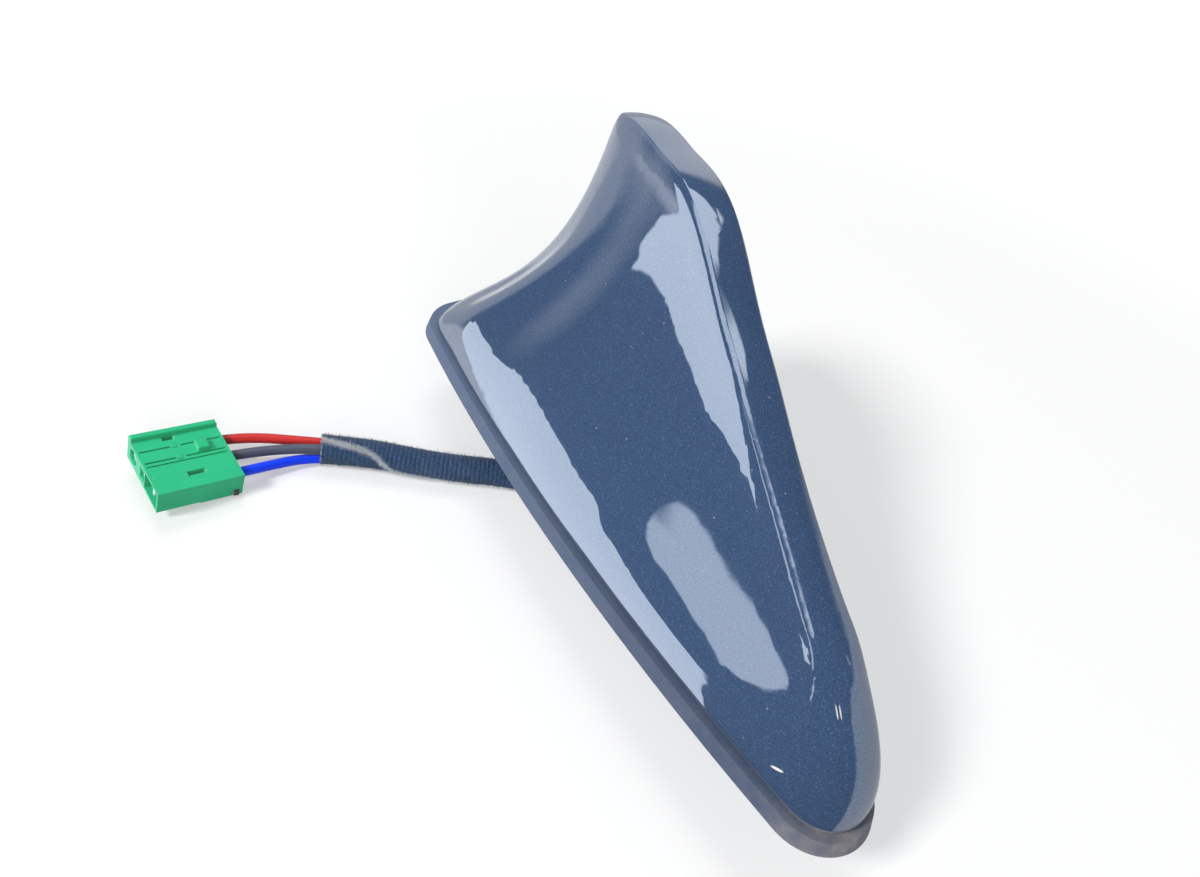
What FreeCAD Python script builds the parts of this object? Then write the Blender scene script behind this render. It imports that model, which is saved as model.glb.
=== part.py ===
import FreeCAD, Part
import math
import os

# Roof antenna of the fin type, in millimetres.
# Origin: on the axis of the fixing post, in the roof plane (underside of the gasket).
# +X points to the nose, +Y to the left of the car, +Z up.

V = FreeCAD.Vector
UP = V(0, 0, 1)

# Plan outline of the gasket, four tangent arcs a side
gasket_length = 175.0
gasket_width = 72.0
rear_radius = 86.0
corner_radius = 12.5
side_radius = 654.0
nose_radius = 11.6
post_from_tail = 88.0

# Gasket section
web_thickness = 2.2
rim_height = 3.4
neck_overlap = 0.2
rim_draft = 0.9
groove_inset = 3.1
groove_top = 4.1
bead_inset = 2.6
bead_top = 4.5
seat_inset = 3.2
seat_height = 5.2
lip_width = 6.0
lip_relief = 0.6
opening_rear = 26.0
opening_front = 15.0
opening_width = 24.0
opening_corner = 6.0
opening_lip = 4.0

# Fin cover
cover_inset = 2.3
cover_setback = 2.8
cover_wall = 2.2
foot_ledge = 0.9
crest_top = 76.7
crest_slope = 0.711
crest_relief = 0.0018
crest_bend_from_tail = 72.8
crest_bend_softness = 6.0
tip_droop = 0.0141
tip_droop_from_tail = 46.0
tip_from_tail = 28.1
nose_crest_from_tail = 163.0
crest_half_width = 5.6
tail_round = 8.9
nose_round = 8.0
tail_drop = 7.5
side_drop = 5.1
nose_drop = 3.2
boss_radius = 3.3
boss_inset = 13.7
boss_shares = (0.137, 0.469, 0.777)
cavity_overlap = 1.0

# Base casting and fixing
fit_clearance = 0.3
plate_height = 5.2
rim_ledge = 2.6
rim_wall = 1.2
rim_rise = 2.8
post_length = 20.0
post_width = 16.0
post_corner = 3.0
post_depth = 11.0
standoff_radius = 2.8
board_height = 9.6
claw_sheet = 1.0
claw_width = 12.0
claw_spread = 4.5
claw_tip_gap = 2.0
claw_knee_offset = 0.4
bolt_radius = 3.0
bolt_flange_radius = 6.5
bolt_flange = 1.4
bolt_flange_slope = 0.8
bolt_head_flats = 10.0
bolt_head = 4.6
bolt_engagement = 11.0
screw_radius = 1.45
screw_head_radius = 2.6
screw_head = 1.7
screw_length = 11.0
screw_slot = 0.7
screw_slot_depth = 0.8
screw_tip_gap = 1.0
thread_clearance = 0.05

# Aerials inside the fin
seal_rise = 1.4
seal_clearance = 1.95
board_thickness = 1.2
board_rear_share = 0.114
board_front_share = 0.869
board_screw_shares = (0.24, 0.546)
board_screw_inset = 12.6
board_screw_radius = 1.1
board_screw_head = 1.2
can_length = 14.0
can_width = 24.0
can_height = 4.2
can_sheet = 0.4
can_share = 0.523
can_corner = 1.5
patch_side = 25.0
patch_height = 4.0
patch_share = 0.643
patch_corner = 1.5
patch_metal_cut = 2.5
patch_metal_side = 20.0
patch_metal = 0.3
pin_radius = 0.6
pin_head_radius = 1.2
pin_head = 0.4
holder_thickness = 3.0
holder_share = 0.2515
holder_top_length = 20.0
holder_rear_flare = 4.0
holder_front_flare = 6.0
holder_top = 62.0
holder_foot = 9.0
holder_foot_thickness = 2.0
coil_radius = 4.5
coil_bore = 2.0
coil_length = 22.0
coil_turns = 7
coil_bottom = 24.0
window_margin = 1.2
plate_sheet = 0.5
plate_top_width = 4.2
plate_skirt = 10.0
plate_spread = 2.2
plate_end_gap = 1.0
phone_share = 0.794
phone_length = 12.0
phone_rise = 11.0
phone_sheet = 0.6
phone_foot = 2.5
phone_neck = 3.0
phone_neck_rise = 4.0
phone_slope = 4.0

# Cable, sleeve and connector
floor_depth = 18.0
exit_x = -17.8
exit_y = -2.0
exit_hole_radius = 5.5
grommet_end = 0.3
grommet_bore = 3.4
grommet_flange_radius = 7.2
grommet_flange = 1.2
grommet_neck_wall = 1.4
grommet_neck_flare = 0.4
grommet_flange_slope = 0.8
sleeve_radius = 3.8
sleeve_bore = 3.42
sleeve_bore_depth = 11.0
lead_radius = 1.25
inner_lead_ring = 1.9
inner_lead_run = 8.0
inner_lead_bend = 3.5
connector_width = 18.6
connector_length = 19.9
connector_height = 6.3
connector_turn = 15.6
connector_front_lift = 6.0
connector_side_lean = 5.0
connector_x = -46.0
connector_y = -99.9
lead_pitch = 5.7
lead_height = 3.4
hole_depth = 6.0
hole_mouth = 0.8
hole_flare = 0.5
rail_width = 1.6
rail_rise = 1.2
rail_round = 0.5
underside_step = 0.3
near_block_width = 8.3
block_groove = 0.4
block_groove_depth = 0.7
latch_from_block = 1.4
latch_width = 3.7
latch_slot = 0.45
latch_slot_depth = 1.0
latch_margin = 0.6
latch_bridge = 2.1
latch_bridge_from_front = 7.8
bump_rise = 0.25
bump_width = 1.1
tab_length = 2.8
tab_from_rear = 4.2
tab_rise = 1.2
tab_round = 0.4
window_width = 1.4
window_length = 2.8
window_from_front = 6.6
window_depth = 2.6
recess_width = 2.2
recess_length = 4.4
recess_depth = 0.25
recess_from_edge = 2.7
recess_from_front = 8.1
key_slot_width = 1.1
key_slot_length = 3.9
key_slot_depth = 2.6
socket_wall = 0.6
socket_depth = 7.4
far_socket_radius = 2.0
mid_socket_width = 2.6
mid_socket_height = 3.0
contact_recess = 0.8
contact_sheet = 0.4
contact_clearance = 0.25
blade_width = 0.9
blade_height = 3.0
retainer_from_rear = 1.0
retainer_length = 1.3
retainer_tip = 0.7
retainer_tip_height = 1.8
retainer_gap = 0.5

# Values worked out from the ones above
tail_x = -post_from_tail
pocket_inset = cover_inset + cover_wall + foot_ledge
plate_inset = pocket_inset + fit_clearance
rim_inset = plate_inset + rim_ledge
board_inset = rim_inset + rim_wall + fit_clearance
board_top = board_height + board_thickness
floor_z = -floor_depth
sleeve_axis = floor_z + sleeve_radius


def at(from_tail):
    """X of a station measured forward from the tail of the gasket."""
    return tail_x + from_tail


def outline_centres(setback):
    """Centres of the rear, corner, side and nose arcs of the left half, the tail set forward."""
    rear = V(at(setback + rear_radius), 0, 0)
    nose = V(at(gasket_length - nose_radius), 0, 0)
    rise = gasket_width / 2 - corner_radius
    corner = V(rear.x - math.sqrt((rear_radius - corner_radius) ** 2 - rise ** 2), rise, 0)
    to_corner = side_radius - corner_radius
    to_nose = side_radius - nose_radius
    base = nose - corner
    gap = base.Length
    along = (gap ** 2 + to_corner ** 2 - to_nose ** 2) / (2 * gap)
    across = math.sqrt(to_corner ** 2 - along ** 2)
    direction = base / gap
    normal = V(direction.y, -direction.x, 0)
    side = corner + direction * along + normal * across
    return rear, corner, side, nose


def outline_arcs(inset, setback=0.0):
    """The four arcs of the left half, tail to nose: centre, radius, first and last angle."""
    rear, corner, side, nose = outline_centres(setback)

    def heading(start, end):
        step = end - start
        return math.atan2(step.y, step.x)

    rear_end = heading(rear, corner)
    side_start = heading(side, corner)
    side_end = heading(side, nose)
    return {
        "rear": (rear, rear_radius - inset, math.pi, rear_end),
        "corner": (corner, corner_radius - inset, rear_end, side_start),
        "side": (side, side_radius - inset, side_start, side_end),
        "nose": (nose, nose_radius - inset, side_end, 0.0),
    }


def on_arc(arc, share, z=0.0):
    centre, radius, first, last = arc
    angle = first + (last - first) * share
    return centre + V(radius * math.cos(angle), radius * math.sin(angle), z)


def mirrored(point):
    return V(point.x, -point.y, point.z)


def arc_edge(start, middle, end):
    return Part.Arc(start, middle, end).toShape()


def outline_wire(inset, z, setback=0.0):
    """Closed outline at a height, set in from the gasket's edge."""
    rear, corner, side, nose = outline_arcs(inset, setback).values()
    edges = [arc_edge(mirrored(on_arc(rear, 1, z)), on_arc(rear, 0, z), on_arc(rear, 1, z))]
    for arc in (corner, side):
        edges.append(arc_edge(on_arc(arc, 0, z), on_arc(arc, 0.5, z), on_arc(arc, 1, z)))
    edges.append(arc_edge(on_arc(nose, 0, z), on_arc(nose, 1, z), mirrored(on_arc(nose, 0, z))))
    for arc in (side, corner):
        points = [mirrored(on_arc(arc, share, z)) for share in (1, 0.5, 0)]
        edges.append(arc_edge(*points))
    return Part.Wire(edges)


def outline_prism(inset, bottom, top, setback=0.0):
    return Part.Face(outline_wire(inset, bottom, setback)).extrude(V(0, 0, top - bottom))


def half_width(x):
    """Half the outline's width at a station of the long side arc."""
    centre, radius, first, last = outline_arcs(0)["side"]
    return centre.y + math.sqrt(radius ** 2 - (x - centre.x) ** 2)


def station(share):
    """X of a station given as a share of the gasket's length."""
    return at(share * gasket_length)


def side_pair(share, inset):
    x = station(share)
    y = half_width(x) - inset
    return [V(x, y, 0), V(x, -y, 0)]


def cylinder(radius, bottom, top, place=V(0, 0, 0)):
    return Part.makeCylinder(radius, top - bottom, V(place.x, place.y, bottom), UP)


def rounded_box(length, width, corner, bottom, top, centre_x=0.0, centre_y=0.0):
    box = Part.makeBox(length, width, top - bottom,
                       V(centre_x - length / 2, centre_y - width / 2, bottom))
    uprights = [e for e in box.Edges if abs(e.BoundBox.ZLength - (top - bottom)) < 1e-6]
    return box.makeFillet(corner, uprights)


def extruded(points, direction):
    wire = Part.makePolygon(points + [points[0]])
    return Part.Face(wire).extrude(direction)


def write(shape, node):
    shape = shape.removeSplitter()
    bad = [s for s in shape.Solids if not s.isValid()]
    print(node, len(shape.Solids), "solids", round(shape.Volume, 1), "mm3", "" if not bad else "INVALID")
    shape.exportStep("parts/" + node + ".step")


# Fin cover: one rib curve per station of the outline, lofted from tail to nose

def crest_height(x):
    """Height of the crest line: level at the tip, bending down towards the nose."""
    ahead = x - at(crest_bend_from_tail)
    run = (ahead + math.hypot(ahead, crest_bend_softness)) / 2
    behind = max(0.0, at(tip_droop_from_tail) - x)
    return crest_top - crest_slope * run + crest_relief * run ** 2 - tip_droop * behind ** 2


def smooth(value):
    value = min(1.0, max(0.0, value))
    return value * value * (3 - 2 * value)


def mix(a, b, share):
    return a + (b - a) * share


# Inner poles of the flank curve, as shares of its inward run and of its rise
# for the ribs at the tail, the rear corner, the middle of the side, the shoulder and the nose
FLANK_SHARES = (
    ((0.08, 0.16), (0.44, 0.285), (0.79, 0.465), (0.95, 0.825)),
    ((0.16, 0.15), (0.52, 0.25), (0.84, 0.44), (0.94, 0.82)),
    ((0.02, 0.215), (0.20, 0.28), (0.60, 0.47), (0.95, 0.815)),
    ((0.0, 0.25), (0.28, 0.32), (0.52, 0.61), (0.86, 0.815)),
    ((0.04, 0.27), (0.17, 0.51), (0.42, 0.715), (0.72, 0.87)),
)
FLANK_RIBS = (0, 4.5, 8, 12, 17)
# Arc, share along it, and heading of the crest's edge there (0 tail, 90 side, 180 nose)
RIB_STATIONS = (
    ("rear", 0.0, 0), ("rear", 0.35, 25), ("rear", 0.7, 46), ("rear", 1.0, 60),
    ("corner", 0.33, 70), ("corner", 0.67, 80), ("corner", 1.0, 90),
    ("side", 0.12, 90), ("side", 0.25, 90), ("side", 0.38, 90), ("side", 0.51, 90), ("side", 0.64, 90),
    ("side", 0.76, 90), ("side", 0.88, 92), ("side", 1.0, 100),
    ("nose", 0.3, 118), ("nose", 0.65, 148), ("nose", 1.0, 180),
)
shoulder_share = 0.37
crown_share = 0.475
corner_lift = 0.92
eased_share = 0.3


def eased(values, index):
    """Value at a rib on the fair curve through the values of FLANK_RIBS, level at both ends."""
    slopes = [0.0]
    for k in range(1, len(values) - 1):
        slopes.append((values[k + 1] - values[k - 1]) / (FLANK_RIBS[k + 1] - FLANK_RIBS[k - 1]))
    slopes.append(0.0)
    last = len(FLANK_RIBS) - 2
    k = min(last, max(n for n, start in enumerate(FLANK_RIBS) if start <= index))
    gap = FLANK_RIBS[k + 1] - FLANK_RIBS[k]
    t = (index - FLANK_RIBS[k]) / gap
    swell = t * (1 - t) * gap * (slopes[k] * (1 - t) - slopes[k + 1] * t)
    return mix(values[k], values[k + 1], smooth(t)) + swell


def flank_shares(index):
    """Inner poles of one rib's flank, eased between the ribs that have their own."""
    runs = [[pole[0] for pole in poles] for poles in zip(*FLANK_SHARES)]
    rises = [[pole[1] for pole in poles] for poles in zip(*FLANK_SHARES)]
    return [(eased(run, index), eased(rise, index)) for run, rise in zip(runs, rises)]


def rib(index, arcs, offset, base):
    """Edges of one rib: flank, shoulder and half crown, from the base edge to the crest line."""
    arc, share, heading = RIB_STATIONS[index]
    foot = on_arc(arcs[arc], share, base)
    rear_end = at(cover_setback + cover_inset)
    forward = (foot.x - rear_end) / (gasket_length - cover_setback - 2 * cover_inset)
    first = at(tip_from_tail + tail_round)
    last = at(nose_crest_from_tail - nose_round)
    centre_x = mix(first, last, mix(forward, smooth(forward), eased_share))
    angle = math.radians(heading)
    to_tail = 1 - smooth(heading / 90)
    to_nose = smooth((forward - 0.70) / 0.30)
    reach = tail_round if heading < 90 else nose_round
    out = V(-(reach - offset) * math.cos(angle), (crest_half_width - offset) * math.sin(angle), 0)
    drop = side_drop + (tail_drop - side_drop) * to_tail + (nose_drop - side_drop) * to_nose
    level = crest_height(centre_x + out.x) - offset
    top = V(centre_x, 0, level - drop) + out
    inward = top - foot
    rise = top.z - foot.z
    inward.z = 0
    poles = [foot]
    for number, (run, up) in enumerate(flank_shares(index)):
        lowered = offset if number else 0.0
        poles.append(foot + inward * run + UP * (rise * up - lowered))
    poles.append(top)
    lean = (top - poles[-2]) / (top.z - poles[-2].z)
    knee = top + lean * (drop * corner_lift)
    crest = V(centre_x, 0, crest_height(centre_x) - offset)
    crown = V(mix(centre_x, knee.x, crown_share), mix(0, knee.y, crown_share), 0)
    crown.z = crest_height(crown.x) - offset
    turn = knee + (crown - knee) * shoulder_share
    edges = []
    for edge_poles in (poles, [top, knee, turn], [turn, crown, crest]):
        curve = Part.BezierCurve()
        curve.setPoles(edge_poles)
        edges.append(curve.toShape())
    return Part.Wire(edges)


def fin_body(offset, base):
    """Solid fin, set in from the outer form by an offset, on a flat base."""
    arcs = outline_arcs(cover_inset + offset, cover_setback)
    ribs = [rib(index, arcs, offset, base) for index in range(len(RIB_STATIONS))]
    flank = Part.makeLoft(ribs, False, False)
    other = flank.mirror(V(0, 0, 0), V(0, 1, 0))
    rims = []
    for half in (flank, other):
        rims += [e for e in half.Edges
                 if abs(e.BoundBox.ZMin - base) < 1e-4 and e.BoundBox.ZLength < 1e-4]
    floor = Part.Face(Part.Wire(Part.__sortEdges__(rims)))
    shell = Part.makeShell(flank.Faces + other.Faces + [floor])
    shell.sewShape()
    solid = Part.Solid(shell)
    if solid.Volume < 0:
        solid.reverse()
    return solid


def screw_places():
    places = []
    for share in boss_shares:
        places += side_pair(share, boss_inset)
    return places


def make_fin_cover():
    outer = fin_body(0.0, seat_height)
    inner = fin_body(cover_wall, seat_height - cavity_overlap)
    cover = outer.cut(inner)
    bore_top = web_thickness + screw_length + screw_tip_gap
    for place in screw_places():
        boss = cylinder(boss_radius, plate_height, crest_top, place).common(outer)
        cover = cover.fuse(boss)
    for place in screw_places():
        cover = cover.cut(cylinder(screw_radius + thread_clearance, 0, bore_top, place))
    return cover


# Gasket

def opening_prism(margin, bottom, top):
    length = opening_rear + opening_front + 2 * margin
    middle = (opening_front - opening_rear) / 2
    return rounded_box(length, opening_width + 2 * margin, opening_corner + margin, bottom, top, middle)


def make_roof_gasket():
    skirt = Part.makeLoft([outline_wire(0, 0), outline_wire(rim_draft, rim_height)], True, True)
    neck = outline_prism(groove_inset, rim_height - neck_overlap, groove_top)
    bead = outline_prism(bead_inset, groove_top, bead_top)
    seat = outline_prism(seat_inset, bead_top, seat_height)
    body = skirt.fuse([neck, bead, seat])
    body = body.cut(outline_prism(pocket_inset, web_thickness, seat_height))
    relief = outline_prism(lip_width, 0, lip_relief).cut(opening_prism(opening_lip, 0, lip_relief))
    return body.cut(relief).cut(opening_prism(0, 0, web_thickness))


# Base casting with its fixing post

def standoff_places():
    places = []
    for share in board_screw_shares:
        places += side_pair(share, board_screw_inset)
    return places


def make_base_plate():
    plate = outline_prism(plate_inset, web_thickness, plate_height)
    rim_top = plate_height + rim_rise
    rim = outline_prism(rim_inset, plate_height, rim_top, cover_setback)
    rim = rim.cut(outline_prism(rim_inset + rim_wall, plate_height, rim_top, cover_setback))
    post = rounded_box(post_length, post_width, post_corner, -post_depth, web_thickness)
    plate = plate.fuse([rim, post])
    for place in standoff_places():
        plate = plate.fuse(cylinder(standoff_radius, plate_height, board_height, place))
    for place in standoff_places():
        plate = plate.cut(cylinder(board_screw_radius + thread_clearance, plate_height, board_height, place))
    for place in screw_places():
        plate = plate.cut(cylinder(screw_radius + fit_clearance, web_thickness, plate_height, place))
        head_room = web_thickness + screw_head + thread_clearance
        plate = plate.cut(cylinder(screw_head_radius + fit_clearance, web_thickness, head_room, place))
    bore_top = bolt_engagement - post_depth + screw_tip_gap
    bolt_bore = cylinder(bolt_radius + thread_clearance, -post_depth, bore_top)
    cable_hole = cylinder(exit_hole_radius, web_thickness, plate_height, V(exit_x, exit_y, 0))
    return plate.cut(bolt_bore).cut(cable_hole)


def make_cover_seal():
    top = seat_height + seal_rise
    ring = outline_prism(cover_inset + cover_wall + seal_clearance, seat_height, top, cover_setback)
    return ring.cut(outline_prism(rim_inset - thread_clearance, seat_height, top, cover_setback))


def make_cover_screws():
    screws = []
    for place in screw_places():
        head = cylinder(screw_head_radius, web_thickness, web_thickness + screw_head, place)
        slot = Part.makeBox(2 * screw_head_radius, screw_slot, screw_slot_depth,
                            V(place.x - screw_head_radius, place.y - screw_slot / 2, web_thickness))
        shank = cylinder(screw_radius, web_thickness + screw_head, web_thickness + screw_length, place)
        screws.append(head.cut(slot).fuse(shank))
    return Part.makeCompound(screws)


def make_retaining_claw():
    top = -post_depth
    half = post_width / 2 + fit_clearance
    reach = half + claw_sheet + claw_spread
    tip = -claw_tip_gap
    knee = top / 2
    inner = [(half, top), (half, knee), (reach - claw_sheet, tip)]
    side = half + claw_sheet
    outer = [(reach, tip), (side, knee - claw_knee_offset), (side, top - claw_sheet)]
    right = inner + outer
    left = [(-y, z) for y, z in reversed(right)]
    points = [V(-claw_width / 2, y, z) for y, z in right + left]
    strap = extruded(points, V(claw_width, 0, 0))
    return strap.cut(cylinder(bolt_radius + fit_clearance, top - claw_sheet, top))


def make_mounting_bolt():
    seat = -post_depth - claw_sheet
    shank = cylinder(bolt_radius, seat, bolt_engagement - post_depth)
    flange = Part.makeCone(bolt_flange_radius - bolt_flange_slope, bolt_flange_radius, bolt_flange,
                           V(0, 0, seat - bolt_flange), UP)
    corner = bolt_head_flats / math.sqrt(3)
    hexagon = [V(corner * math.cos(math.radians(60 * k)), corner * math.sin(math.radians(60 * k)), floor_z)
               for k in range(6)]
    head = extruded(hexagon, V(0, 0, bolt_head))
    return shank.fuse([flange, head])


# Board and aerials

def make_main_board():
    board = outline_prism(board_inset, board_height, board_top)
    rear = station(board_rear_share)
    frame = Part.makeBox(station(board_front_share) - rear, gasket_width, board_thickness,
                         V(rear, -gasket_width / 2, board_height))
    board = board.common(frame)
    for place in screw_places():
        board = board.cut(cylinder(boss_radius + fit_clearance, board_height, board_top, place))
    for place in standoff_places():
        board = board.cut(cylinder(board_screw_radius + fit_clearance, board_height, board_top, place))
    lead_hole = cylinder(exit_hole_radius, board_height, board_top, V(exit_x, exit_y, 0))
    return board.cut(lead_hole)


def make_board_screws():
    screws = []
    for place in standoff_places():
        shank = cylinder(board_screw_radius, plate_height, board_top, place)
        head = cylinder(2 * board_screw_radius, board_top, board_top + board_screw_head, place)
        screws.append(shank.fuse(head))
    return Part.makeCompound(screws)


def make_shield_can():
    middle = station(can_share)
    outside = rounded_box(can_length, can_width, can_corner, board_top, board_top + can_height, middle)
    inside = rounded_box(can_length - 2 * can_sheet, can_width - 2 * can_sheet, can_corner - can_sheet,
                         board_top, board_top + can_height - can_sheet, middle)
    return outside.cut(inside)


def patch_place():
    return V(station(patch_share), 0, 0)


def make_navigation_patch():
    place = patch_place()
    tile = rounded_box(patch_side, patch_side, patch_corner, board_top, board_top + patch_height, place.x)
    hole = cylinder(pin_radius + thread_clearance, board_top, board_top + patch_height, place)
    return tile.cut(hole)


def make_patch_electrode():
    place = patch_place()
    bottom = board_top + patch_height
    side = patch_metal_side / 2
    cut = patch_metal_cut
    points = [V(place.x + x, y, bottom) for x, y in
              ((-side + cut, -side), (side, -side), (side, side - cut), (side - cut, side),
               (-side, side), (-side, -side + cut))]
    sheet = extruded(points, V(0, 0, patch_metal))
    return sheet.cut(cylinder(pin_radius + thread_clearance, bottom, bottom + patch_metal, place))


def make_patch_pin():
    place = patch_place()
    top = board_top + patch_height + patch_metal
    pin = cylinder(pin_radius, board_top, top, place)
    return pin.fuse(cylinder(pin_head_radius, top, top + pin_head, place))


def holder_ends():
    """Rear and front X of the holder's top edge."""
    middle = station(holder_share)
    return middle - holder_top_length / 2, middle + holder_top_length / 2


def make_element_holder():
    rear, front = holder_ends()
    foot_rear = rear - holder_rear_flare
    foot_front = front + holder_front_flare
    half = holder_thickness / 2
    points = [V(foot_rear, -half, board_top), V(foot_front, -half, board_top), V(front, -half, holder_top),
              V(rear, -half, holder_top)]
    panel = extruded(points, V(0, holder_thickness, 0))
    foot = Part.makeBox(foot_front - foot_rear, 2 * holder_foot, holder_foot_thickness,
                        V(foot_rear, -holder_foot, board_top))
    half_window = coil_radius + window_margin
    middle = station(holder_share)
    window = Part.makeBox(2 * half_window, holder_thickness, coil_length + window_margin,
                          V(middle - half_window, -half, coil_bottom))
    spigot_top = coil_bottom + coil_length / 2
    spigot = cylinder(coil_bore - thread_clearance, coil_bottom, spigot_top, V(middle, 0, 0))
    return panel.fuse(foot).cut(window).fuse(spigot)


def make_loading_coil():
    pitch = coil_length / coil_turns
    groove = pitch / 4
    profile = [V(coil_bore, 0, coil_bottom)]
    for turn in range(coil_turns):
        z = coil_bottom + turn * pitch
        profile += [V(coil_radius - groove, 0, z), V(coil_radius, 0, z + groove),
                    V(coil_radius, 0, z + pitch - groove), V(coil_radius - groove, 0, z + pitch)]
    profile.append(V(coil_bore, 0, coil_bottom + coil_length))
    unique = [p for k, p in enumerate(profile) if k == 0 or (p - profile[k - 1]).Length > 1e-6]
    face = Part.Face(Part.makePolygon(unique + [unique[0]]))
    coil = face.revolve(V(0, 0, 0), UP, 360)
    coil.translate(V(station(holder_share), 0, 0))
    return coil


def make_top_load_plate():
    rear, front = holder_ends()
    top = holder_top + plate_sheet
    half = plate_top_width / 2
    outer = [(half, top), (half + plate_spread, top - plate_skirt)]
    inner = [(half + plate_spread - plate_sheet, top - plate_skirt), (half - plate_sheet, holder_top)]
    right = outer + inner
    left = [(-y, z) for y, z in reversed(right)]
    points = [V(rear + plate_end_gap, y, z) for y, z in right + left]
    return extruded(points, V(front - rear - 2 * plate_end_gap, 0, 0))


def make_phone_element():
    rear = station(phone_share)
    neck = rear + phone_neck
    front = rear + phone_length
    half = phone_sheet / 2
    step = board_top + phone_neck_rise
    top = board_top + phone_rise
    outline = ((rear, board_top), (neck, board_top), (neck, step), (front, step),
               (front - phone_slope, top), (rear, top))
    points = [V(x, -half, z) for x, z in outline]
    upright = extruded(points, V(0, phone_sheet, 0))
    foot = Part.makeBox(phone_neck, phone_foot, phone_sheet, V(rear, half, board_top))
    return upright.fuse(foot)


# Cable outlet

def make_cable_grommet():
    outer = exit_hole_radius - thread_clearance
    bottom = web_thickness - grommet_flange
    neck = grommet_bore + grommet_neck_wall
    top = plate_height + grommet_flange
    flange = grommet_flange_radius
    section = ((grommet_bore, grommet_end), (neck, grommet_end), (neck + grommet_neck_flare, bottom),
               (flange, bottom), (flange, web_thickness), (outer, web_thickness), (outer, plate_height),
               (flange, plate_height), (flange - grommet_flange_slope, top), (grommet_bore, top))
    profile = [V(radius, 0, z) for radius, z in section]
    grommet = Part.Face(Part.makePolygon(profile + [profile[0]])).revolve(V(0, 0, 0), UP, 360)
    grommet.translate(V(exit_x, exit_y, 0))
    return grommet


def make_inner_leads():
    leads = []
    height = board_top + lead_radius
    for heading in (0, 90, 270):
        angle = math.radians(heading)
        out = V(math.cos(angle), math.sin(angle), 0)
        start = V(exit_x, exit_y, grommet_end) + out * inner_lead_ring
        bend = start + UP * (height - inner_lead_bend - grommet_end)
        turned = bend + out * inner_lead_bend + UP * inner_lead_bend
        middle = bend + (out * (1 - math.sqrt(0.5)) + UP * math.sqrt(0.5)) * inner_lead_bend
        path = Part.Wire([Part.LineSegment(start, bend).toShape(), arc_edge(bend, middle, turned),
                          Part.LineSegment(turned, turned + out * inner_lead_run).toShape()])
        section = Part.Wire(Part.Circle(start, UP, lead_radius).toShape())
        leads.append(path.makePipe(Part.Face(section)))
    return Part.makeCompound(leads)


# Free cable: routes are chosen by hand, on the surface below the fin

SLEEVE_ROUTE = (
    (exit_x, exit_y, grommet_end), (exit_x, exit_y, -5.7), (-19.4, -4.4, -10.7), (-22.0, -8.6, sleeve_axis),
    (-27.4, -15.8, sleeve_axis), (-32.1, -25.6, sleeve_axis), (-35.7, -37.0, sleeve_axis),
    (-40.6, -48.4, sleeve_axis), (-45.0, -58.2, sleeve_axis), (-47.9, -68.0, sleeve_axis),
)
# Places of the leads across the sleeve's end: right of the axis, and above it
BUNDLE = {"red_lead": (-1.97, 0.35), "grey_lead": (1.29, 1.53), "blue_lead": (0.68, -1.88)}
# Place of each lead at the connector, in pitches from the middle
WAYS = {"red_lead": -1, "grey_lead": 0, "blue_lead": 1}
bundle_past_end = 1.5
lead_last_run = 5.0
lead_entry = 3.5


def cord_tube(name, points, radius):
    """Tube of straight runs joined by tangent arcs as large as the runs allow."""
    points = [V(*p) for p in points]
    edges = []
    start = points[0]
    radii = []
    for before, corner, after in zip(points, points[1:], points[2:]):
        back = before - corner
        ahead = after - corner
        setback = 0.45 * min(back.Length, ahead.Length)
        back.normalize()
        ahead.normalize()
        half_turn = (math.pi - back.getAngle(ahead)) / 2
        bend = setback / math.tan(half_turn)
        radii.append(round(bend, 1))
        inward = back + ahead
        inward.normalize()
        middle = corner + inward * (bend / math.cos(half_turn) - bend)
        edges.append(Part.LineSegment(start, corner + back * setback).toShape())
        edges.append(arc_edge(corner + back * setback, middle, corner + ahead * setback))
        start = corner + ahead * setback
    edges.append(Part.LineSegment(start, points[-1]).toShape())
    path = Part.Wire(edges)
    section = Part.Wire(Part.Circle(points[0], points[1] - points[0], radius).toShape())
    tube = path.makePipe(Part.Face(section))
    print(name, "radii", radii, "length", round(path.Length, 1),
          "volume ratio", round(tube.Volume / (math.pi * radius ** 2 * path.Length), 4))
    return tube


def sleeve_end():
    """End point of the sleeve, its outward direction and the direction to its right."""
    end = V(*SLEEVE_ROUTE[-1])
    along = end - V(*SLEEVE_ROUTE[-2])
    along.normalize()
    return end, along, V(-along.y, along.x, 0)


def make_harness_sleeve():
    end, along, right = sleeve_end()
    tube = cord_tube("harness_sleeve", SLEEVE_ROUTE, sleeve_radius)
    bore = Part.makeCylinder(sleeve_bore, sleeve_bore_depth + 1, end + along, along * -1)
    return tube.cut(bore)


def connector_place():
    """Place of the connector: turned, raised in front and leaning, its lowest corner on the floor."""
    turn = FreeCAD.Rotation(UP, connector_turn)
    turn = turn.multiply(FreeCAD.Rotation(V(1, 0, 0), -connector_front_lift))
    turn = turn.multiply(FreeCAD.Rotation(V(0, 1, 0), connector_side_lean))
    corner = turn.multVec(V(connector_width / 2, connector_length / 2, 0))
    return FreeCAD.Placement(V(connector_x, connector_y, floor_z - corner.z), turn)


def lead_route(name):
    end, along, right = sleeve_end()
    across, above = BUNDLE[name]
    inside = end + right * across + UP * above - along * sleeve_bore_depth
    mouth = inside + along * (sleeve_bore_depth + bundle_past_end)
    rear = connector_place().multVec(V(WAYS[name] * lead_pitch, connector_length / 2, lead_height))
    entry = connector_place().Rotation.multVec(V(0, 1, 0))
    return [inside, mouth, rear + entry * lead_last_run, rear - entry * lead_entry]


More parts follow.
